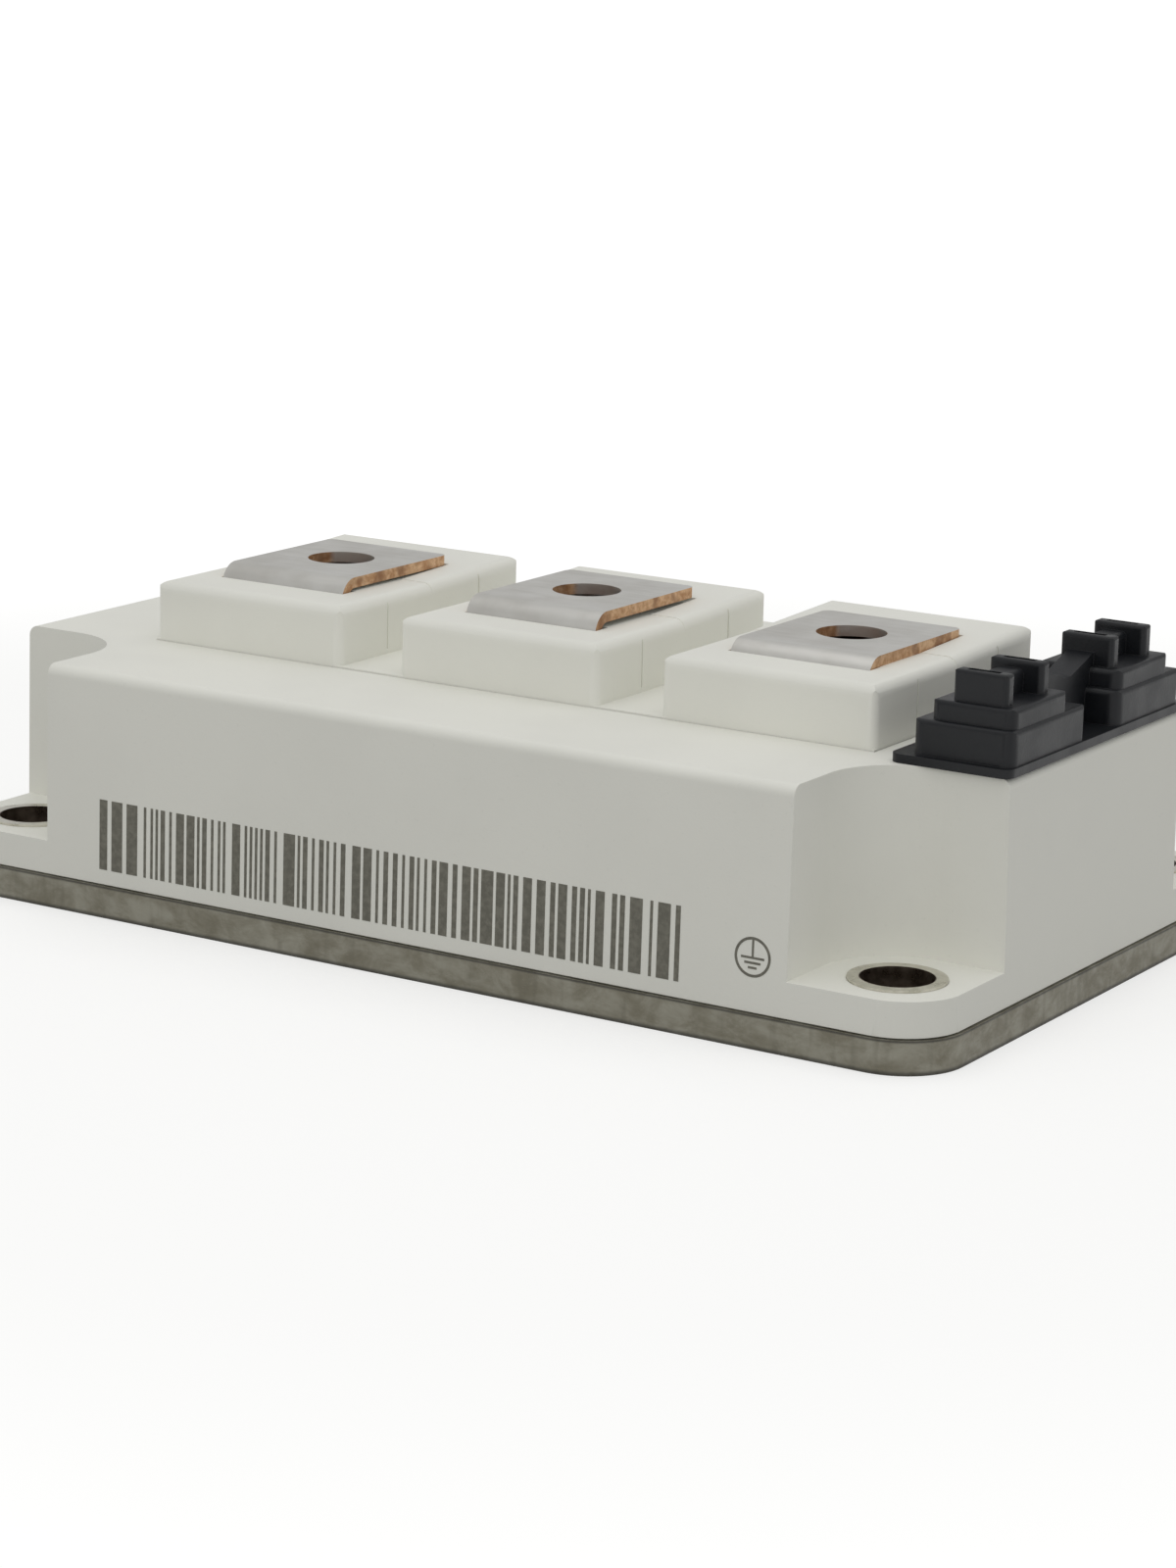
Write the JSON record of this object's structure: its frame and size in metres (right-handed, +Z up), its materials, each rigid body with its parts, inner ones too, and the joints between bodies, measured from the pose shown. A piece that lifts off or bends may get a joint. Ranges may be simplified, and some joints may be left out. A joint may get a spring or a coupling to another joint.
{
  "type": "igbt module",
  "caption": "Flat half-bridge power switching module: ivory moulded housing on a metal base plate, screw terminals on raised blocks, black carrier for control tabs, fixing holes in open corners",
  "frame": {"origin": "centre of the base plate's underside", "axes": "X along the length with the control terminals at +X, Y across the width with the printed long side at -Y, Z up out of the base plate"},
  "size_m": [0.1064, 0.0614, 0.0313],
  "materials": {
    "nickel_plate": "nickel-plated copper, matt rolled surface",
    "sealant": "pale silicone sealant",
    "ivory_plastic": "ivory glass-filled moulding, matt",
    "bush_steel": "turned plated steel",
    "plated_strip": "silver-bright plating on stamped copper strip",
    "nut_metal": "passivated hexagon nut, brown",
    "black_plastic": "black moulding, satin",
    "plated_tab": "tinned tab",
    "ceramic": "alumina, matt",
    "copper": "bare copper",
    "silicon": "metallised silicon",
    "aluminium_wire": "drawn aluminium",
    "silicone_gel": "soft clear gel"
  },
  "bodies": {
    "root": {"base_plate": "nickel_plate", "adhesive": "sealant", "housing": "ivory_plastic", "mounting_bushes": "bush_steel", "lid": "ivory_plastic", "terminal_1": "plated_strip", "terminal_2": "plated_strip", "terminal_3": "plated_strip", "terminal_nuts": "nut_metal", "control_carrier": "black_plastic", "gate_tab_high": "plated_tab", "emitter_tab_high": "plated_tab", "emitter_tab_low": "plated_tab", "gate_tab_low": "plated_tab", "substrate_ceramics": "ceramic", "substrate_back_copper": "copper", "substrate_tracks": "copper", "transistor_chips": "silicon", "diode_chips": "silicon", "bond_wires": "aluminium_wire", "control_board": "ceramic", "control_pads": "copper", "gel": "silicone_gel"}
  },
  "joints": []
}
